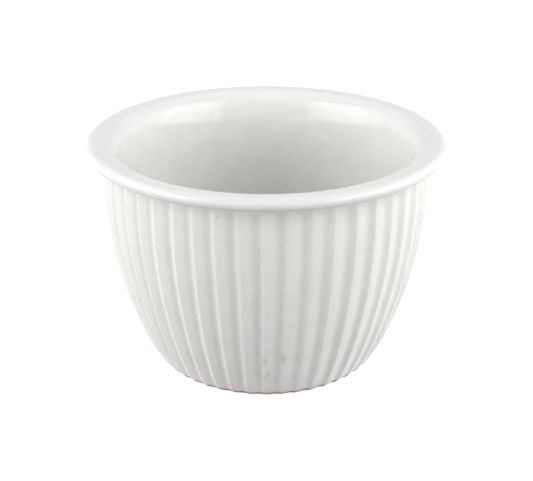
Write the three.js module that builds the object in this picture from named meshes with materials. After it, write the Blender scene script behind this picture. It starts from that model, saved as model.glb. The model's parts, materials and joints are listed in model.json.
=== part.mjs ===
// Ribbed custard cup of white porcelain: the fired clay body with its bare foot, the glaze coat that
// covers it outside, over the rim and inside, and the patch of glaze in the recess under the base.
// Millimetres, +Z up, with the origin on the cup's axis at the level that the foot stands on.

import * as THREE from "three";

// Overall sizes of the glazed cup
const rimDiameter = 92;
const cupHeight = 60.5;
const footDiameter = 60.8; // across the lower edge of the glaze, over the ribs

// Outside wall: one curve from the foot to a short upright band under the rim, angles in degrees
const footSlope = 55.3; // of the wall above the ground at that edge
const footPull = 8; // how far the curve keeps to that slope
const shoulderLean = 1.6; // of the wall towards the axis where it meets the band
const shoulderPull = 22.5; // how far the curve keeps to that lean
const bandHeight = 3.3; // the ribs die out over this height

// Rolled rim
const neckRadius = 1.2; // hollow between the band and the underside of the rim
const undersideWidth = 1.15; // flat part of that underside
const beadRadius = 1.5; // round outer edge
const lipWidth = 2.6; // nearly flat top of the rim
const lipSlope = 4.2; // of that top, falling towards the axis
const lipRadius = 4; // round inner edge

// Inside
const flareLean = 18; // of the wall from upright, just inside the lip
const flareRadius = 46; // of the bend from there to the steeper wall below
const innerLean = 4; // of the wall from upright, below that bend
const innerPull = 17; // how far the inside keeps to that lean
const floorHeight = 5.5;
const floorInset = 10.4; // from the foot's edge in to the flat part of the floor
const floorSwell = 6.1; // past the foot's edge, where the sweep up from the floor aims

// Ribs like shallow pleats: each climbs steeply from its groove to a narrow crest, then falls gently to the
// next groove, counter-clockwise as seen from above
const ribCount = 48;
const grooveDepth = 0.5;
const flankShare = 0.3; // steep side, of the pitch from one rib to the next
const crestShare = 0.16; // crest, of the same pitch
const firstGroove = 4.7; // degrees round from the front, which faces -Y

// Foot and glaze
const glazeThickness = 0.3;
const bareFootHeight = 1.5; // the clay shows below this level
const footTuck = 2.6; // the bare foot draws in by this much down to the ground
const footRingWidth = 4.4; // flat ring that the cup stands on
const recessDepth = 1.5;
const recessDraft = 0.6; // the side of the recess leans in by this much
const baseGlazeMargin = 0.8; // bare clay left round the patch in the recess

// Fineness: steps of the half section along its curves, and sides of the rings that have no ribs
const insideSteps = 6;
const flareSteps = 2;
const lipSteps = 3;
const quarterSteps = 3; // over the outer upper quarter of the rim
const tuckSteps = 2; // under the rim, and again round its neck
const wallSteps = 7;
const smoothSides = 72;

const radians = THREE.MathUtils.degToRad;

// A step of `length` at `angle` degrees from the +r direction of the half section
function stride(length, angle) {
  return new THREE.Vector2(Math.cos(radians(angle)), Math.sin(radians(angle))).multiplyScalar(length);
}

function arc(centre, radius, from, to, clockwise) {
  return new THREE.EllipseCurve(centre.x, centre.y, radius, radius, radians(from), radians(to), clockwise);
}

// Rings with no ribs, rings set out for the ribs but still level, and rings with their grooves
const smooth = { ribbed: false, depth: 0 };
const level = { ribbed: true, depth: 0 };
const grooved = { ribbed: true, depth: grooveDepth };

// Stations along a curve after its first point, each with the outward direction of the surface
function trace(curve, count, kind) {
  return Array.from({ length: count }, (_, k) => {
    const t = (k + 1) / count;
    const along = curve.getTangent(t);
    return { at: curve.getPoint(t), out: new THREE.Vector2(-along.y, along.x), kind };
  });
}

// Half section of the glazed surface, from the middle of the floor over the rim to the foot
function glazedSection() {
  const lipNormal = 90 + lipSlope;
  const flareNormal = 180 - flareLean;
  const innerNormal = 180 - innerLean;
  const footRadius = footDiameter / 2;
  const beadOffset = rimDiameter / 2 - beadRadius;
  const wallRadius = beadOffset - undersideWidth - neckRadius;
  const undersideHeight = cupHeight - 2 * beadRadius;
  const bandTop = undersideHeight - neckRadius;

  const middle = new THREE.Vector2(0, floorHeight);
  const floorEdge = new THREE.Vector2(footRadius - floorInset, floorHeight);
  const beadCentre = new THREE.Vector2(beadOffset, cupHeight - beadRadius);
  const topOuter = beadCentre.clone().add(stride(beadRadius, lipNormal));
  const topInner = topOuter.clone().add(stride(lipWidth, lipNormal + 90));
  const lipCentre = topInner.clone().sub(stride(lipRadius, lipNormal));
  const flareTop = lipCentre.clone().add(stride(lipRadius, flareNormal));
  const flareCentre = flareTop.clone().sub(stride(flareRadius, flareNormal));
  const flareBottom = flareCentre.clone().add(stride(flareRadius, innerNormal));
  const beadBottom = new THREE.Vector2(beadCentre.x, undersideHeight);
  const neckCentre = new THREE.Vector2(wallRadius + neckRadius, bandTop);
  const neckTop = new THREE.Vector2(neckCentre.x, undersideHeight);
  const bandUpper = new THREE.Vector2(wallRadius, bandTop);
  const bandLower = new THREE.Vector2(wallRadius, bandTop - bandHeight);
  const foot = new THREE.Vector2(footRadius, bareFootHeight);

  const inside = new THREE.CubicBezierCurve(
    floorEdge,
    new THREE.Vector2(footRadius + floorSwell, floorHeight),
    flareBottom.clone().add(stride(innerPull, innerNormal + 90)),
    flareBottom,
  );
  const wall = new THREE.CubicBezierCurve(
    bandLower,
    bandLower.clone().add(stride(shoulderPull, shoulderLean - 90)),
    foot.clone().add(stride(footPull, footSlope)),
    foot,
  );

  return [
    { at: middle, out: new THREE.Vector2(0, 1), kind: smooth },
    ...trace(new THREE.LineCurve(middle, floorEdge), 1, smooth),
    ...trace(inside, insideSteps, smooth),
    ...trace(arc(flareCentre, flareRadius, innerNormal, flareNormal, true), flareSteps, smooth),
    ...trace(arc(lipCentre, lipRadius, flareNormal, lipNormal, true), lipSteps, smooth),
    ...trace(new THREE.LineCurve(topInner, topOuter), 1, smooth),
    ...trace(arc(beadCentre, beadRadius, lipNormal, 90, true), 1, smooth),
    ...trace(arc(beadCentre, beadRadius, 90, 0, true), quarterSteps, smooth),
    ...trace(arc(beadCentre, beadRadius, 0, -90, true), tuckSteps, smooth),
    ...trace(new THREE.LineCurve(beadBottom, neckTop), 1, smooth),
    ...trace(arc(neckCentre, neckRadius, 90, 180, false), tuckSteps, level),
    ...trace(new THREE.LineCurve(bandUpper, bandLower), 1, grooved),
    ...trace(wall, wallSteps, grooved),
  ];
}

// The clay surface under the glaze
function claySection(glazed) {
  return glazed.map(({ at, out, kind }) => {
    return { at: at.clone().addScaledVector(out, -glazeThickness), kind };
  });
}

// Places round the axis, each with its share of the groove's depth, counted on from the first groove:
// three to a rib where there are ribs, evenly spaced elsewhere
const start = radians(firstGroove);
const pitch = (2 * Math.PI) / ribCount;
const ribbedRound = Array.from({ length: ribCount }, (_, k) => {
  const groove = start + k * pitch;
  return [
    { angle: groove, share: 1 },
    { angle: groove + flankShare * pitch, share: 0 },
    { angle: groove + (flankShare + crestShare) * pitch, share: 0 },
  ];
}).flat();
const smoothRound = Array.from({ length: smoothSides }, (_, k) => {
  return { angle: start + (k * 2 * Math.PI) / smoothSides, share: 0 };
});

// A closed ring of points at a station, or a single point where the station is on the axis
function ring({ at, kind }) {
  if (at.x === 0) {
    return { angles: [], points: [new THREE.Vector3(0, 0, at.y)] };
  }
  const round = kind.ribbed ? ribbedRound : smoothRound;
  const points = round.map(({ angle, share }) => {
    const radius = at.x - share * kind.depth;
    return new THREE.Vector3(radius * Math.sin(angle), -radius * Math.cos(angle), at.y);
  });
  return { angles: round.map(({ angle }) => angle), points };
}

// Angle of the k-th point of a ring, counted on past a full turn
function angleOf({ angles }, k) {
  const turns = Math.floor(k / angles.length);
  return angles[k % angles.length] + turns * 2 * Math.PI;
}

// Triangles between two rings: walks once round both, stepping along the ring that lags behind
function zip(first, second, triangles) {
  const pointOf = ({ points }, k) => points[k % points.length];
  let i = 0;
  let j = 0;
  while (i < first.angles.length || j < second.angles.length) {
    const firstNext = i < first.angles.length ? angleOf(first, i + 1) : Infinity;
    const secondNext = j < second.angles.length ? angleOf(second, j + 1) : Infinity;
    if (firstNext <= secondNext) {
      triangles.push(pointOf(first, i), pointOf(second, j), pointOf(first, i + 1));
      i += 1;
    } else {
      triangles.push(pointOf(first, i), pointOf(second, j), pointOf(second, j + 1));
      j += 1;
    }
  }
}

// The surface that a half section sweeps round the axis
function skin(section) {
  const rings = section.map(ring);
  const triangles = [];
  for (let k = 0; k + 1 < rings.length; k += 1) {
    zip(rings[k], rings[k + 1], triangles);
  }
  return triangles;
}

function solid(triangles) {
  const geometry = new THREE.BufferGeometry().setFromPoints(triangles);
  geometry.computeVertexNormals();
  return geometry;
}

const glazed = glazedSection();
const clay = claySection(glazed);
const clayFoot = clay[clay.length - 1].at;
const standRadius = clayFoot.x - footTuck;
const recessRadius = standRadius - footRingWidth - recessDraft;

function station(r, z, kind) {
  return { at: new THREE.Vector2(r, z), kind };
}

// Clay body: the whole cup under its glaze, on a flat foot ring round a shallow recess
function porcelainBody() {
  return solid(skin([
    ...clay,
    station(standRadius, 0, grooved),
    station(standRadius - footRingWidth, 0, smooth),
    station(recessRadius, recessDepth, smooth),
    station(0, recessDepth, smooth),
  ]));
}

// Glaze coat: the glazed surface, its edge above the bare foot, and the clay's surface turned over
function glazeCoat() {
  const edge = [glazed, clay].map((section) => section[section.length - 1]);
  return solid([...skin(glazed), ...skin(edge), ...skin(clay).toReversed()]);
}

// Glaze patch against the ceiling of the recess
function baseGlaze() {
  const radius = recessRadius - baseGlazeMargin;
  return solid(skin([
    station(0, recessDepth, smooth),
    station(radius, recessDepth, smooth),
    station(radius, recessDepth - glazeThickness, smooth),
    station(0, recessDepth - glazeThickness, smooth),
  ]));
}

const bareClay = new THREE.MeshStandardMaterial({ color: 0xd3bfb6, roughness: 0.75, metalness: 0 });
const whiteGlaze = new THREE.MeshStandardMaterial({ color: 0xf0eeea, roughness: 0.12, metalness: 0 });

const cup = new THREE.Group();
for (const [name, geometry, material] of [
  ["porcelain_body", porcelainBody(), bareClay],
  ["glaze_coat", glazeCoat(), whiteGlaze],
  ["base_glaze", baseGlaze(), whiteGlaze],
]) {
  const mesh = new THREE.Mesh(geometry, material);
  mesh.name = name;
  cup.add(mesh);
}

export default cup;
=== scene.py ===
import bisect
import json
import math
import random

import bpy
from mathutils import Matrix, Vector

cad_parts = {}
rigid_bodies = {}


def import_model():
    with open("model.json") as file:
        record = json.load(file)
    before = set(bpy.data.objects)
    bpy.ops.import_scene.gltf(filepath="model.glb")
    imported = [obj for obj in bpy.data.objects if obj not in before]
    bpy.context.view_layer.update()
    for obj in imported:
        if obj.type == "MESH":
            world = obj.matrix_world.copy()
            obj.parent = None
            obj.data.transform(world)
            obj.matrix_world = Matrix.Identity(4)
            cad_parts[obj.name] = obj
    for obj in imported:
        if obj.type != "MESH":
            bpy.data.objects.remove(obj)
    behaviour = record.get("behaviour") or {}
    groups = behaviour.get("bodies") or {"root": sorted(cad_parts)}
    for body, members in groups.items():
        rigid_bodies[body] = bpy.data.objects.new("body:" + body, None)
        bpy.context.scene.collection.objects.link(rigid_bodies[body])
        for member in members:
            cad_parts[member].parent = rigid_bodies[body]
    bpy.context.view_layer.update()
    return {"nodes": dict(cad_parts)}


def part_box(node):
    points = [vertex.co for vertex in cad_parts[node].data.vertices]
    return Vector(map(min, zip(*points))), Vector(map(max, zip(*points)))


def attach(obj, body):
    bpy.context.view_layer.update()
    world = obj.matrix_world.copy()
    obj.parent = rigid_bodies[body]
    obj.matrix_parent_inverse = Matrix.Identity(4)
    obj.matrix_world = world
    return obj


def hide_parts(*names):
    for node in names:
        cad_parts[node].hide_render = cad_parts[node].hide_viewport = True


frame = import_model()
mm = 0.001

print("frame loaded:", sorted(frame["nodes"]))


# half section of the glazed cup, sizes in millimetres, angles in degrees
cup = {
    "footRadius": 30.4,  # at the lower edge of the glaze, over the ribs
    "footSlope": 55.3,
    "footPull": 8,  # how far the wall's curve keeps to that slope
    "shoulderLean": 1.6,
    "shoulderPull": 22.5,
    "bandHeight": 3.3,  # upright stretch under the rim
    "neckRadius": 1.2,
    "undersideWidth": 1.15,
    "beadRadius": 1.5,
    "lipWidth": 2.6,
    "lipSlope": 4.2,
    "lipRadius": 4,
    "flareLean": 18,
    "flareRadius": 46,  # the inside bends from the flare to the wall on this radius
    "innerLean": 4,
    "innerPull": 17,
    "floorHeight": 5.5,
    "floorRadius": 20,
    "floorSwell": 36.5,  # radius that the sweep up from the floor aims at
    "crease": 50,  # edges that turn by more than this stay sharp
    "seamGap": 0.002,  # points closer than this are merged
    # steps along each stretch of the section
    "steps": {
        "floor": 3,
        "inside": 12,
        "flare": 6,
        "lip": 8,
        "top": 2,
        "bead": 12,
        "underside": 1,
        "neck": 4,
        "band": 6,
        "wall": 15,
    },
}


def polar(centre, radius, angle):
    turn = math.radians(angle)
    return (centre[0] + radius * math.cos(turn), centre[1] + radius * math.sin(turn))


def linePoints(a, b, steps):
    return [(a[0] + (b[0] - a[0]) * k / steps, a[1] + (b[1] - a[1]) * k / steps) for k in range(1, steps + 1)]


def arcPoints(centre, radius, start, end, steps):
    return [polar(centre, radius, start + (end - start) * k / steps) for k in range(1, steps + 1)]


def curvePoints(a, b, c, d, steps):
    points = []
    for k in range(1, steps + 1):
        t = k / steps
        s = 1 - t
        weights = (s ** 3, 3 * s * s * t, 3 * s * t * t, t ** 3)
        points.append(tuple(sum(w * p[i] for w, p in zip(weights, (a, b, c, d))) for i in range(2)))
    return points


def smoothStep(low, high, value):
    t = min(1, max(0, (value - low) / (high - low)))
    return t * t * (3 - 2 * t)


def glazedSection():
    # from the middle of the floor up the inside, over the rim and down the outside to the foot
    low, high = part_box("glaze_coat")
    rimRadius = high.x / mm
    rimTop = high.z / mm
    foot = (cup["footRadius"], low.z / mm)
    lipNormal = 90 + cup["lipSlope"]
    flareNormal = 180 - cup["flareLean"]
    innerNormal = 180 - cup["innerLean"]

    bead = (rimRadius - cup["beadRadius"], rimTop - cup["beadRadius"])
    topOuter = polar(bead, cup["beadRadius"], lipNormal)
    topInner = polar(topOuter, cup["lipWidth"], lipNormal + 90)
    lip = polar(topInner, -cup["lipRadius"], lipNormal)
    flareTop = polar(lip, cup["lipRadius"], flareNormal)
    flare = polar(flareTop, -cup["flareRadius"], flareNormal)
    flareEnd = polar(flare, cup["flareRadius"], innerNormal)
    floorEdge = (cup["floorRadius"], cup["floorHeight"])
    underside = bead[1] - cup["beadRadius"]
    neck = (bead[0] - cup["undersideWidth"], underside - cup["neckRadius"])
    bandTop = (neck[0] - cup["neckRadius"], neck[1])
    bandEnd = (bandTop[0], bandTop[1] - cup["bandHeight"])

    steps = cup["steps"]
    section = [(0, cup["floorHeight"])]
    section += linePoints(section[-1], floorEdge, steps["floor"])
    section += curvePoints(
        floorEdge,
        (cup["floorSwell"], cup["floorHeight"]),
        polar(flareEnd, cup["innerPull"], innerNormal + 90),
        flareEnd,
        steps["inside"],
    )
    section += arcPoints(flare, cup["flareRadius"], innerNormal, flareNormal, steps["flare"])
    section += arcPoints(lip, cup["lipRadius"], flareNormal, lipNormal, steps["lip"])
    section += linePoints(topInner, topOuter, steps["top"])
    section += arcPoints(bead, cup["beadRadius"], lipNormal, -90, steps["bead"])
    section += linePoints(section[-1], (neck[0], underside), steps["underside"])
    section += arcPoints(neck, cup["neckRadius"], 90, 180, steps["neck"])
    section += linePoints(bandTop, bandEnd, steps["band"])
    section += curvePoints(
        bandEnd,
        polar(bandEnd, cup["shoulderPull"], cup["shoulderLean"] - 90),
        polar(foot, cup["footPull"], cup["footSlope"]),
        foot,
        steps["wall"],
    )
    return section


def drawSection(name, section):
    # one vertex from a plane, then extruded point by point along the half section
    bpy.ops.object.select_all(action="DESELECT")
    bpy.ops.mesh.primitive_plane_add(size=mm)
    piece = bpy.context.object
    piece.name = name
    bpy.ops.object.mode_set(mode="EDIT")
    bpy.ops.mesh.select_all(action="SELECT")
    bpy.ops.mesh.merge(type="CENTER")
    bpy.ops.transform.translate(value=(section[0][0] * mm, 0, section[0][1] * mm))
    for here, ahead in zip(section, section[1:]):
        step = ((ahead[0] - here[0]) * mm, 0, (ahead[1] - here[1]) * mm)
        bpy.ops.mesh.extrude_vertices_move(TRANSFORM_OT_translate={"value": step})
    return piece


def spinRound(steps):
    # the drawn line once round the axis, with its seam and poles closed
    bpy.ops.mesh.select_all(action="SELECT")
    bpy.ops.mesh.spin(steps=steps, angle=2 * math.pi, center=(0, 0, 0), axis=(0, 0, 1))
    bpy.ops.mesh.select_all(action="SELECT")
    bpy.ops.mesh.remove_doubles(threshold=cup["seamGap"] * mm)
    bpy.ops.mesh.normals_make_consistent(inside=False)
    bpy.ops.object.mode_set(mode="OBJECT")


def shadeSmooth():
    bpy.ops.object.shade_smooth_by_angle(angle=math.radians(cup["crease"]))


# ribs like shallow pleats: a steep flank up from each groove, a crest, and a long back down to the next
ribs = {
    "count": 48,
    "firstGroove": -55.34,  # degrees to the right of the front
    "depth": 0.5,
    "footDepth": 0.5,  # share of the depth that is left at the foot
    "footFade": 9,  # height at which it is back in full
    "flankEnd": 0.3,  # shares of the pitch
    "flankPower": 2,
    "crestEnd": 0.33,
    "backEnd": 0.93,
    "backPower": 1.25,
    "top": 56.8,  # the grooves run out between these heights
    "full": 54.6,
    "seed": 352865,  # picked from many, so that the front grooves stray much as the photographed ones do
    "shift": 0.4,  # degrees that a groove strays by
    "depthSpread": 0.1,
    "topSpread": 0.4,
    "topReach": 3,  # no groove goes further past the top than this many spreads
    "sway": 0.12,  # degrees that it wanders to and fro on its way up
    "swayLength": (30, 60),
    "outward": (0.2, 0.6),  # grooves begin and are full where the wall looks outwards by so much
    "steps": 384,  # points round the smooth surfaces
    "cuts": 2,  # further points between them on the ribbed wall
    "levelGap": 0.001,  # an edge that climbs less than this is level
}


def settleRibs():
    # each groove's own angle, depth, upper end and wander
    draw = random.Random(ribs["seed"])
    count = ribs["count"]
    shifts = [draw.gauss(0, ribs["shift"]) for _ in range(count)]
    depths = [1 - abs(draw.gauss(0, ribs["depthSpread"])) for _ in range(count)]
    tops = [draw.gauss(0, ribs["topSpread"]) for _ in range(count)]
    grooves = []
    for k in range(count):
        grooves.append({
            "angle": ribs["firstGroove"] + k * 360 / count + shifts[k],
            "depth": depths[k],
            "top": tops[k],
            "turns": 1 / draw.uniform(*ribs["swayLength"]),
            "phase": draw.random(),
        })
    first = grooves[0]
    grooves.append({**first, "angle": first["angle"] + 360})  # the first again, a full turn on
    return grooves


def facing(vertex):
    # 1 where the surface looks straight away from the axis, -1 where it looks at it
    radius = math.hypot(vertex.co.x, vertex.co.y)
    if radius == 0:
        return 0
    return (vertex.co.x * vertex.normal.x + vertex.co.y * vertex.normal.y) / radius


def grooveAngle(groove, height):
    wave = math.sin(2 * math.pi * (height * groove["turns"] + groove["phase"]))
    return groove["angle"] + ribs["sway"] * wave


def grooveShare(vertex, grooves):
    # 0 on a crest, up to 1 at the bottom of a groove, only on the outside of the wall
    height = vertex.co.z / mm
    outward = smoothStep(*ribs["outward"], facing(vertex))
    if outward == 0 or height > ribs["top"] + ribs["topReach"] * ribs["topSpread"]:
        return 0
    angle = math.degrees(math.atan2(vertex.co.x, -vertex.co.y))
    while angle < grooves[0]["angle"]:
        angle += 360
    while angle >= grooves[-1]["angle"]:
        angle -= 360
    k = bisect.bisect_right(grooves, angle, key=lambda groove: groove["angle"]) - 1
    left, right = grooves[k], grooves[k + 1]
    start = grooveAngle(left, height)
    u = (angle - start) / (grooveAngle(right, height) - start)
    if u < ribs["crestEnd"]:
        groove = left
        share = 1 - min(1, max(0, u) / ribs["flankEnd"]) ** ribs["flankPower"]
    else:
        groove = right
        share = min(1, (u - ribs["crestEnd"]) / (ribs["backEnd"] - ribs["crestEnd"])) ** ribs["backPower"]
    upper = smoothStep(ribs["top"] + groove["top"], ribs["full"] + groove["top"], height)
    lower = ribs["footDepth"] + (1 - ribs["footDepth"]) * smoothStep(0, ribs["footFade"], height)
    return share * groove["depth"] * upper * lower * outward


def refineWall(piece):
    # the level edges round the outside of the wall are cut up, so that the ribs come out crisp
    bpy.context.tool_settings.mesh_select_mode = (False, True, False)
    bpy.ops.object.mode_set(mode="EDIT")
    bpy.ops.mesh.select_all(action="DESELECT")
    bpy.ops.object.mode_set(mode="OBJECT")
    vertices = piece.data.vertices
    onWall = [facing(vertex) > ribs["outward"][0] and vertex.co.z < ribs["top"] * mm for vertex in vertices]
    for edge in piece.data.edges:
        a, b = edge.vertices
        climb = abs(vertices[a].co.z - vertices[b].co.z)
        edge.select = onWall[a] and onWall[b] and climb < ribs["levelGap"] * mm
    bpy.ops.object.mode_set(mode="EDIT")
    bpy.ops.mesh.subdivide(number_cuts=ribs["cuts"])
    bpy.ops.object.mode_set(mode="OBJECT")
    bpy.context.tool_settings.mesh_select_mode = (True, False, False)


def carveRibs(piece, grooves):
    # vertex weights from the rib's own section, then pressed in square to the wall
    refineWall(piece)
    group = piece.vertex_groups.new(name="grooves")
    shares = [grooveShare(vertex, grooves) for vertex in piece.data.vertices]
    for index, share in enumerate(shares):
        group.add([index], share, "REPLACE")
    press = piece.modifiers.new("press grooves", "DISPLACE")
    press.vertex_group = group.name
    press.direction = "NORMAL"
    press.mid_level = 0
    press.strength = -ribs["depth"] * mm
    bpy.ops.object.modifier_apply(modifier=press.name)
    return shares


# glaze over the outside, the rim and the inside
coat = {
    "thickness": 0.3,
    "edge": 0.1,  # share of it that is left at the lower edge
    "taper": 2.5,  # height over which it thins out
    "insideFacing": 0.1,  # what looks outwards by less than this counts as the inside
    "insidePoolAndShade": 0.55,  # how much the glaze gathers down the inside, partly painted shade
    "insidePoolAndShadeHeights": (60, 54.5),  # where that begins and is full
    "groovePoolAndShade": 0.9,  # how much it gathers in the grooves, partly thicker glaze and partly painted shade that darkens them
    "groovePoolAndShadeFrom": 0.45,  # share of the groove's depth where that begins
}

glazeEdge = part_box("glaze_coat")[0].z / mm  # height of the coat's lower edge


def coatShare(height):
    # share of the glaze's thickness on the outside of the wall
    return coat["edge"] + (1 - coat["edge"]) * smoothStep(glazeEdge, glazeEdge + coat["taper"], height)


def poolAndShadeShare(vertex, inside, groove):
    # how much glaze lies thick at a point, with painted shade, by its height inside and by the groove outside
    if inside:
        # the inside turns greyer below the rim, partly thicker glaze and partly painted shade
        return coat["insidePoolAndShade"] * smoothStep(*coat["insidePoolAndShadeHeights"], vertex.co.z / mm)
    # the grooves are darkened partly by thicker glaze and partly by painted shade
    return coat["groovePoolAndShade"] * smoothStep(coat["groovePoolAndShadeFrom"], 1, groove)


def makeGlazeCoat(grooves):
    piece = drawSection("glaze_skin", glazedSection())
    spinRound(ribs["steps"])
    shares = carveRibs(piece, grooves)

    vertices = piece.data.vertices
    inside = [facing(vertex) < coat["insideFacing"] for vertex in vertices]
    depth = piece.vertex_groups.new(name="depth")
    for vertex in vertices:
        share = 1 if inside[vertex.index] else coatShare(vertex.co.z / mm)
        depth.add([vertex.index], share, "REPLACE")
    poolAndPaintedShade = piece.data.attributes.new("poolAndPaintedShade", "FLOAT", "POINT")
    # weights for the greyer glaze: thicker glaze plus painted shade in the grooves and down the inside
    gatheredAndShaded = [poolAndShadeShare(*point) for point in zip(vertices, inside, shares)]
    poolAndPaintedShade.data.foreach_set("value", gatheredAndShaded)

    wall = piece.modifiers.new("glaze thickness", "SOLIDIFY")
    wall.thickness = coat["thickness"] * mm
    wall.offset = -1
    wall.use_even_offset = True
    wall.vertex_group = depth.name
    bpy.ops.object.modifier_apply(modifier=wall.name)
    shadeSmooth()
    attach(piece, "root")
    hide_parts("glaze_coat")
    print("glaze coat:", len(piece.data.polygons), "faces")
    return piece


# foot of the clay body, from the edge of the glaze to the middle of the recess
clay = {
    "footSteps": 6,
    "ringWidth": 4.4,  # flat ring that the cup stands on
    "ringSteps": 2,
    "edgeRadius": 0.35,  # inner edge of that ring
    "edgeEnd": -160,  # direction in which its rounding ends
    "edgeSteps": 4,
    "recessDraft": 0.6,
    "recessSteps": 2,
    "ceilingSteps": 3,
}


def claySection():
    # the glazed line moved into the wall, square to itself, by the thickness of the glaze
    section = glazedSection()
    moved = [(0, section[0][1] - coat["thickness"])]
    for before, here, after in zip(section, section[1:], section[2:] + [None]):
        ahead = after or here
        along = Vector((ahead[0] - before[0], ahead[1] - before[1])).normalized()
        depth = coat["thickness"] * (coatShare(here[1]) if along.y < 0 else 1)
        moved.append((here[0] + along.y * depth, here[1] - along.x * depth))
    return moved


def makeClayBody(grooves):
    # the same cup under its glaze, rounding under to a flat ring with a shallow recess inside it
    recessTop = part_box("base_glaze")[1].z / mm
    section = claySection()
    slope = cup["footSlope"]
    rounding = section[-1][1] / (1 - math.cos(math.radians(slope)))
    stand = polar(section[-1], -rounding, slope - 90)
    ringInner = stand[0] - clay["ringWidth"]
    edge = clay["edgeRadius"]
    recess = ringInner - clay["recessDraft"]
    section += arcPoints(stand, rounding, slope - 90, -90, clay["footSteps"])
    section += linePoints(section[-1], (ringInner + edge, 0), clay["ringSteps"])
    section += arcPoints((ringInner + edge, edge), edge, -90, clay["edgeEnd"], clay["edgeSteps"])
    section += linePoints(section[-1], (recess, recessTop), clay["recessSteps"])
    section += linePoints(section[-1], (0, recessTop), clay["ceilingSteps"])
    piece = drawSection("clay_body", section)
    spinRound(ribs["steps"])
    carveRibs(piece, grooves)
    shadeSmooth()
    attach(piece, "root")
    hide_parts("porcelain_body")
    print("clay body:", len(piece.data.polygons), "faces")
    return piece


# glaze in the recess
patch = {
    "steps": 192,  # points round it
    "edgeRadius": 0.3,
    "edgeSteps": 5,
    "faceSteps": 4,
}


def makeBaseGlaze():
    # thin patch against the ceiling of the recess, its lower edge rounded as it ran in the kiln
    low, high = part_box("base_glaze")
    radius = high.x / mm
    top = high.z / mm
    rounded = patch["edgeRadius"]
    section = [(0, top), (radius, top)]
    section += arcPoints((radius - rounded, top), rounded, 0, -90, patch["edgeSteps"])
    section += linePoints(section[-1], (0, low.z / mm), patch["faceSteps"])
    piece = drawSection("recess_glaze", section)
    spinRound(patch["steps"])
    shadeSmooth()
    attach(piece, "root")
    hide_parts("base_glaze")
    print("base glaze:", len(piece.data.polygons), "faces")
    return piece


# small helpers for the node trees
def newMaterial(name):
    material = bpy.data.materials.new(name)
    material.use_nodes = True
    return material, material.node_tree


def addNode(tree, kind, options=None, values=None):
    # values may be numbers, colours or other nodes' outputs
    node = tree.nodes.new(kind)
    for name, option in (options or {}).items():
        setattr(node, name, option)
    for name, value in (values or {}).items():
        if isinstance(value, bpy.types.NodeSocket):
            tree.links.new(value, node.inputs[name])
        else:
            node.inputs[name].default_value = value
    return node


def calc(tree, operation, *terms):
    return addNode(tree, "ShaderNodeMath", {"operation": operation}, dict(enumerate(terms))).outputs[0]


def vectorCalc(tree, operation, *terms):
    return addNode(tree, "ShaderNodeVectorMath", {"operation": operation}, dict(enumerate(terms))).outputs


def remap(tree, value, fromLow, fromHigh, toLow=0, toHigh=1):
    ends = {"From Min": fromLow, "From Max": fromHigh, "To Min": toLow, "To Max": toHigh}
    options = {"interpolation_type": "SMOOTHSTEP"}
    return addNode(tree, "ShaderNodeMapRange", options, {"Value": value, **ends}).outputs["Result"]


def mixColour(tree, factor, first, second, kind="MIX"):
    options = {"data_type": "RGBA", "blend_type": kind}
    return addNode(tree, "ShaderNodeMix", options, {0: factor, 6: first, 7: second}).outputs[2]


def tint(tree, mask, strength, colour, over):
    # a colour laid over another where the mask is, as strongly as given
    return mixColour(tree, calc(tree, "MULTIPLY", mask, strength), over, colour)


def noise(tree, place, scale, detail, rough=0.5):
    values = {"Vector": place, "Scale": scale, "Detail": detail, "Roughness": rough}
    return addNode(tree, "ShaderNodeTexNoise", {}, values).outputs


def newGroup(name, inputs, outputs):
    group = bpy.data.node_groups.new(name, "ShaderNodeTree")
    for title, kind in inputs.items():
        group.interface.new_socket(title, in_out="INPUT", socket_type=kind)
    for title, kind in outputs.items():
        group.interface.new_socket(title, in_out="OUTPUT", socket_type=kind)
    return group, group.nodes.new("NodeGroupInput").outputs, group.nodes.new("NodeGroupOutput").inputs


# specks and stains, in shares of their own size
marks = {
    "smallest": 0.4,  # smallest speck of a scatter, the largest being 1
    "speckCore": 0.4,  # full colour out to here, fading to the edge
    "stainCore": 0.35,
}


def makeSpeckGroup():
    # round specks in some of the cells of a scatter, of uneven size
    number = "NodeSocketFloat"
    inputs = {"Vector": "NodeSocketVector", "Scale": number, "Size": number, "Share": number}
    group, given, result = newGroup("scattered specks", inputs, {"Mask": number})
    cells = addNode(group, "ShaderNodeTexVoronoi", {}, {"Vector": given["Vector"], "Scale": given["Scale"]})
    chance = addNode(group, "ShaderNodeSeparateColor", {}, {"Color": cells.outputs["Color"]}).outputs
    chosen = calc(group, "LESS_THAN", chance["Red"], given["Share"])
    reach = calc(group, "MULTIPLY", remap(group, chance["Green"], 0, 1, marks["smallest"], 1), given["Size"])
    core = calc(group, "MULTIPLY", reach, marks["speckCore"])
    spot = remap(group, cells.outputs["Distance"], core, reach, 1, 0)
    group.links.new(calc(group, "MULTIPLY", chosen, spot), result["Mask"])
    return group


def makeStainGroup():
    # one soft spot or streak at a given place
    vector = "NodeSocketVector"
    inputs = {"Vector": vector, "Centre": vector, "Spread": vector}
    group, given, result = newGroup("one stain", inputs, {"Mask": "NodeSocketFloat"})
    away = vectorCalc(group, "SUBTRACT", given["Vector"], given["Centre"])["Vector"]
    scaled = vectorCalc(group, "DIVIDE", away, given["Spread"])["Vector"]
    length = vectorCalc(group, "LENGTH", scaled)["Value"]
    group.links.new(remap(group, length, marks["stainCore"], 1, 1, 0), result["Mask"])
    return group


def specks(tree, group, place, scale, size, share):
    values = {"Vector": place, "Scale": scale, "Size": size, "Share": share}
    return addNode(tree, "ShaderNodeGroup", {"node_tree": group}, values).outputs["Mask"]
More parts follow.
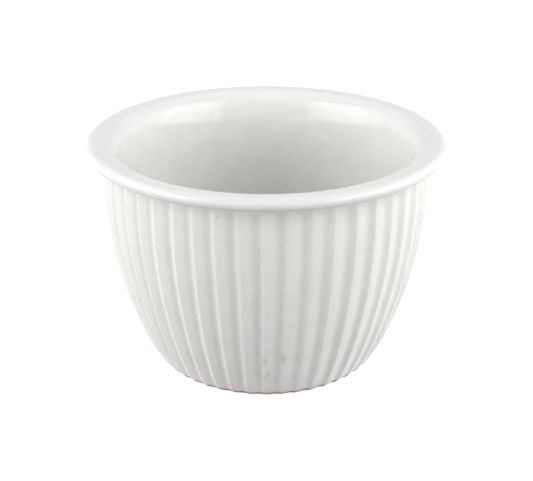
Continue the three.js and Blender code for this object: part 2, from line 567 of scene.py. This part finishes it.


# white glaze: cloudy, greyer where it lies thick and with painted shade in the grooves and down the inside,
# warmer over the rim, with pinholes, iron specks and stains
glaze = {
    "white": (0.9, 0.886, 0.866, 1),
    "cream": (0.872, 0.857, 0.836, 1),
    "pooledAndShaded": (0.735, 0.741, 0.716, 1),
    "rim": (0.868, 0.849, 0.841, 1),
    "iron": (0.26, 0.17, 0.12, 1),
    "rust": (0.6, 0.47, 0.31, 1),
    "pinhole": (0.45, 0.41, 0.36, 1),
    "footEdge": (0.52, 0.36, 0.31, 1),
    "ior": 1.46,
    "bump": {"Strength": 0.025, "Distance": 0.03 * mm},
    # patterns, their scales in counts to the metre
    "cloud": {"scale": 190, "detail": 4, "rough": 0.6},
    "grain": {"scale": 2300, "detail": 2, "rough": 0.6},
    "dullness": {"scale": 420, "detail": 3},
    "ragged": {"scale": 700, "detail": 2},
    "pinholes": {"scale": 900, "size": 0.3, "share": 0.2},
    "ironSpecks": {"scale": 360, "size": 0.1, "share": 0.14},
    "pinholeStrength": 0.2,
    "pinholeRoughness": 0.2,
    "ironStrength": 0.35,
    # limits of a pattern or a height, then what they turn into where that isn't 0 and 1
    "cloudToCream": (0.38, 0.66),
    "cloudToPoolAndShade": (0.3, 0.6, 0.75, 1),
    "grainToShade": (0.3, 0.7, 0.972, 1.015),
    "dullnessToRoughness": (0.3, 0.7, 0.045, 0.08),
    "heightToRim": (56.5 * mm, 58.8 * mm),
    "heightToFootEdge": (1.6 * mm, 2.4 * mm, 0.5, 0),
    "stainWander": 1.4,  # width of the band that a stain's outline strays in, in millimetres
    "stainDepth": 1.2,  # half of a stain's depth into the wall
    # at: angle from the front, height and distance from the axis; size: half the width and half the height
    "stains": {
        "streak over the foot": {
            "at": (-0.4, 14.3, 36.0), "size": (0.9, 3.2), "colour": "rust", "strength": 0.36,
        },
        "lower streak": {
            "at": (0.9, 9.4, 34.3), "size": (0.8, 2.4), "colour": "rust", "strength": 0.32,
        },
        "spot by the streak": {
            "at": (-0.7, 8.3, 33.8), "size": (0.4, 0.5), "colour": "iron", "strength": 0.3,
        },
        "rusty blotch": {
            "at": (6.6, 14.6, 36.2), "size": (0.9, 2.6), "colour": "rust", "strength": 0.42,
        },
        "spot at the foot": {
            "at": (-0.6, 3.2, 31.3), "size": (0.4, 0.5), "colour": "iron", "strength": 0.3,
        },
        "red pinhole": {
            "at": (-38.1, 43.6, 41.9), "size": (0.4, 0.4), "colour": "iron", "strength": 0.5,
        },
        "speck under the rim": {
            "at": (-14.9, 54.5, 42.0), "size": (0.4, 0.6), "colour": "iron", "strength": 0.25,
        },
        "speck on the wall": {
            "at": (-18.9, 27.7, 40.0), "size": (0.35, 0.4), "colour": "iron", "strength": 0.3,
        },
        "speck on the side": {
            "at": (-39.8, 36.2, 41.3), "size": (0.35, 0.4), "colour": "iron", "strength": 0.3,
        },
    },
}


def addStains(tree, group, place, colour):
    # each stain at its own place, its outline ragged by a little noise
    band = Vector((1, 1, 1)) * glaze["stainWander"] * mm
    ragged = noise(tree, place, **glaze["ragged"])["Color"]
    moved = vectorCalc(tree, "MULTIPLY_ADD", ragged, band, place)["Vector"]
    for stain in glaze["stains"].values():
        angle, level, radius = stain["at"]
        turn = math.radians(angle)
        centre = Vector((radius * math.sin(turn), -radius * math.cos(turn), level)) * mm
        wide, tall = stain["size"]
        values = {
            "Vector": moved,
            "Centre": centre + band / 2,  # the noise moves the pattern by half the band on average
            "Spread": Vector((wide, glaze["stainDepth"], tall)) * mm,
        }
        mask = addNode(tree, "ShaderNodeGroup", {"node_tree": group}, values).outputs["Mask"]
        colour = tint(tree, mask, stain["strength"], glaze[stain["colour"]], colour)
    return colour


def makeGlazeMaterial(speckGroup, stainGroup):
    material, tree = newMaterial("white glaze")
    shader = tree.nodes["Principled BSDF"]
    place = addNode(tree, "ShaderNodeTexCoord").outputs["Object"]
    height = addNode(tree, "ShaderNodeSeparateXYZ", {}, {"Vector": place}).outputs["Z"]
    poolAndPaintedShade = addNode(tree, "ShaderNodeAttribute", {"attribute_name": "poolAndPaintedShade"}).outputs["Fac"]

    # colour
    cloud = noise(tree, place, **glaze["cloud"])[0]
    grain = noise(tree, place, **glaze["grain"])[0]
    colour = mixColour(tree, remap(tree, cloud, *glaze["cloudToCream"]), glaze["white"], glaze["cream"])
    # greyer glaze where it lies thick, partly painted shade in the grooves and down the inside
    uneven = calc(tree, "MULTIPLY", poolAndPaintedShade, remap(tree, cloud, *glaze["cloudToPoolAndShade"]))
    colour = mixColour(tree, uneven, colour, glaze["pooledAndShaded"])
    colour = mixColour(tree, remap(tree, height, *glaze["heightToRim"]), colour, glaze["rim"])
    shade = remap(tree, grain, *glaze["grainToShade"])
    colour = mixColour(tree, 1, colour, shade, "MULTIPLY")
    pinholes = specks(tree, speckGroup, place, **glaze["pinholes"])
    colour = tint(tree, pinholes, glaze["pinholeStrength"], glaze["pinhole"], colour)
    iron = specks(tree, speckGroup, place, **glaze["ironSpecks"])
    colour = tint(tree, iron, glaze["ironStrength"], glaze["iron"], colour)
    colour = addStains(tree, stainGroup, place, colour)
    edge = remap(tree, height, *glaze["heightToFootEdge"])
    colour = mixColour(tree, edge, colour, glaze["footEdge"])
    tree.links.new(colour, shader.inputs["Base Color"])

    # gloss, and a surface with a fine orange peel and pinholes
    dullness = noise(tree, place, **glaze["dullness"])[0]
    rough = remap(tree, dullness, *glaze["dullnessToRoughness"])
    rough = calc(tree, "MULTIPLY_ADD", pinholes, glaze["pinholeRoughness"], rough)
    tree.links.new(rough, shader.inputs["Roughness"])
    relief = calc(tree, "SUBTRACT", grain, pinholes)
    bump = addNode(tree, "ShaderNodeBump", {}, {**glaze["bump"], "Height": relief})
    tree.links.new(bump.outputs["Normal"], shader.inputs["Normal"])
    shader.inputs["IOR"].default_value = glaze["ior"]
    return material


# bare clay: tan, flashed red brown close to the glaze, gritty
bareClay = {
    "tan": (0.60, 0.48, 0.42, 1),
    "pale": (0.68, 0.58, 0.52, 1),
    "flash": (0.42, 0.21, 0.185, 1),
    "grit": (0.22, 0.13, 0.1, 1),
    "roughness": 0.85,
    "bump": {"Strength": 0.6, "Distance": 0.1 * mm},
    "cloud": {"scale": 260, "detail": 4, "rough": 0.6},
    "grain": {"scale": 2600, "detail": 3, "rough": 0.65},
    "gritSpecks": {"scale": 1100, "size": 0.3, "share": 0.3},
    "gritStrength": 0.5,
    "cloudToPale": (0.35, 0.65),
    "flashWander": 0.8 * mm,  # width of the band that the flashed edge strays in
    "heightToFlash": (0.5 * mm, 1.1 * mm),
}


def makeClayMaterial(speckGroup):
    material, tree = newMaterial("bare clay")
    shader = tree.nodes["Principled BSDF"]
    place = addNode(tree, "ShaderNodeTexCoord").outputs["Object"]
    height = addNode(tree, "ShaderNodeSeparateXYZ", {}, {"Vector": place}).outputs["Z"]
    cloud = noise(tree, place, **bareClay["cloud"])[0]
    grain = noise(tree, place, **bareClay["grain"])[0]
    colour = mixColour(tree, remap(tree, cloud, *bareClay["cloudToPale"]), bareClay["tan"], bareClay["pale"])
    ragged = calc(tree, "MULTIPLY_ADD", cloud, bareClay["flashWander"], height)
    colour = mixColour(tree, remap(tree, ragged, *bareClay["heightToFlash"]), colour, bareClay["flash"])
    grit = specks(tree, speckGroup, place, **bareClay["gritSpecks"])
    colour = tint(tree, grit, bareClay["gritStrength"], bareClay["grit"], colour)
    tree.links.new(colour, shader.inputs["Base Color"])
    relief = calc(tree, "SUBTRACT", grain, grit)
    bump = addNode(tree, "ShaderNodeBump", {}, {**bareClay["bump"], "Height": relief})
    tree.links.new(bump.outputs["Normal"], shader.inputs["Normal"])
    shader.inputs["Roughness"].default_value = bareClay["roughness"]
    return material


# floor and lamps, sizes in metres
studio = {
    "floorSize": 6.0,
    "floorColour": (0.31, 0.31, 0.308, 1),
    "floorGlow": 0.93,
    "floorShade": (0.16, 0.16, 0.16, 1),
    "floorDrop": 0.02 * mm,  # below the foot
    "ambient": 0.12,
    "distance": 0.6,
    "aimHeight": 0.03,
    # boxes round the cup: azimuths from the front, lower and upper edge, width and brightness
    "boxes": {
        "softbox": {
            "azimuths": (-73, 73), "low": 0, "high": 50, "width": 0.41, "radiance": 3.25,
        },
        "rear strip": {
            "azimuths": (-99, 99), "low": 0, "high": 50, "width": 0.147, "radiance": 1.65,
        },
        "middle rear strip": {
            "azimuths": (-113, 113), "low": 0, "high": 50, "width": 0.147, "radiance": 0.85,
        },
        "last rear strip": {
            "azimuths": (-127, 127), "low": 0, "high": 50, "width": 0.147, "radiance": 0.4,
        },
        "side fill": {
            "azimuths": (-46, 46), "low": 0, "high": 40, "width": 0.17, "radiance": 2.6,
        },
        "front fill": {
            "azimuths": (0,), "low": 0, "high": 20, "width": 0.85, "radiance": 0.65,
        },
        "upper front fill": {
            "azimuths": (0,), "low": 20, "high": 40, "width": 0.85, "radiance": 0.15,
        },
        "back fill": {
            "azimuths": (180,), "low": 30, "high": 64, "width": 1.0, "radiance": 0.5,
        },
    },
}


def seenDirectly(tree):
    # 1 for what the camera sees straight on, in a reflection or through glass
    ray = addNode(tree, "ShaderNodeLightPath").outputs
    shown = calc(tree, "MAXIMUM", ray["Is Camera Ray"], ray["Is Glossy Ray"])
    return calc(tree, "MAXIMUM", shown, ray["Is Transmission Ray"])


def makeFloor():
    bpy.ops.object.select_all(action="DESELECT")
    bpy.ops.mesh.primitive_plane_add(size=studio["floorSize"], location=(0, 0, -studio["floorDrop"]))
    floor = bpy.context.object
    floor.name = "floor"
    material, tree = newMaterial("pale floor")
    tree.nodes.remove(tree.nodes["Principled BSDF"])
    bounce = addNode(tree, "ShaderNodeBsdfDiffuse", {}, {"Color": studio["floorColour"]})
    glow = addNode(tree, "ShaderNodeEmission", {}, {"Strength": studio["floorGlow"]})
    shade = addNode(tree, "ShaderNodeBsdfDiffuse", {}, {"Color": studio["floorShade"]})
    bright = addNode(tree, "ShaderNodeAddShader", {}, {0: glow.outputs[0], 1: shade.outputs[0]})
    parts = {0: seenDirectly(tree), 1: bounce.outputs[0], 2: bright.outputs[0]}
    mix = addNode(tree, "ShaderNodeMixShader", {}, parts)
    tree.links.new(mix.outputs[0], tree.nodes["Material Output"].inputs["Surface"])
    floor.data.materials.append(material)


def makeWorld():
    world = bpy.data.worlds.new("studio")
    bpy.context.scene.world = world
    world.use_nodes = True
    tree = world.node_tree
    background = tree.nodes["Background"]
    background.inputs["Color"].default_value = (1, 1, 1, 1)
    level = remap(tree, seenDirectly(tree), 0, 1, studio["ambient"], 1)
    tree.links.new(level, background.inputs["Strength"])


def direction(azimuth, elevation):
    # from the cup to a place round it, azimuth 0 at the front
    turn = math.radians(azimuth)
    rise = math.radians(elevation)
    return Vector((math.sin(turn) * math.cos(rise), -math.cos(turn) * math.cos(rise), math.sin(rise)))


def makeLamps():
    # each box faces the cup, with its edges at two elevations
    aim = Vector((0, 0, studio["aimHeight"]))
    for name, box in studio["boxes"].items():
        middle = (box["low"] + box["high"]) / 2
        tall = 2 * studio["distance"] * math.tan(math.radians(box["high"] - middle))
        for azimuth in box["azimuths"]:
            away = direction(azimuth, middle)
            bpy.ops.object.light_add(type="AREA", location=aim + away * studio["distance"])
            lamp = bpy.context.object
            lamp.name = name
            lamp.rotation_euler = away.to_track_quat("Z", "Y").to_euler()
            lamp.data.shape = "RECTANGLE"
            lamp.data.size = box["width"]
            lamp.data.size_y = tall
            lamp.data.energy = box["radiance"] * math.pi * box["width"] * tall
            lamp.visible_camera = False


# the photograph's view, distances in metres
picture = {
    "width": 533,
    "axisPixel": 266.0,  # the cup's axis in the picture
    "focalPixels": 1047.78,
    "distance": 0.2821,
    "elevation": 24.2,
    "aimHeight": 0.03046,
    "sensor": 36.0,  # millimetres, as Blender's lens is
    "clipStart": 0.01,
}


def makeCamera():
    away = direction(0, picture["elevation"])
    aim = Vector((0, 0, picture["aimHeight"]))
    bpy.ops.object.camera_add(location=aim + away * picture["distance"])
    camera = bpy.context.object
    camera.rotation_euler = away.to_track_quat("Z", "Y").to_euler()
    camera.data.sensor_width = picture["sensor"]
    camera.data.lens = picture["focalPixels"] * picture["sensor"] / picture["width"]
    camera.data.shift_x = (picture["width"] / 2 - picture["axisPixel"]) / picture["width"]
    camera.data.clip_start = picture["clipStart"]
    bpy.context.scene.camera = camera


grooves = settleRibs()
glazeCoat = makeGlazeCoat(grooves)
clayBody = makeClayBody(grooves)
baseGlaze = makeBaseGlaze()

speckGroup = makeSpeckGroup()
whiteGlaze = makeGlazeMaterial(speckGroup, makeStainGroup())
glazeCoat.data.materials.append(whiteGlaze)
baseGlaze.data.materials.append(whiteGlaze)
clayBody.data.materials.append(makeClayMaterial(speckGroup))
print("materials done")

makeFloor()
makeWorld()
makeLamps()
makeCamera()
bpy.context.scene.view_settings.view_transform = "Standard"
print("studio done")
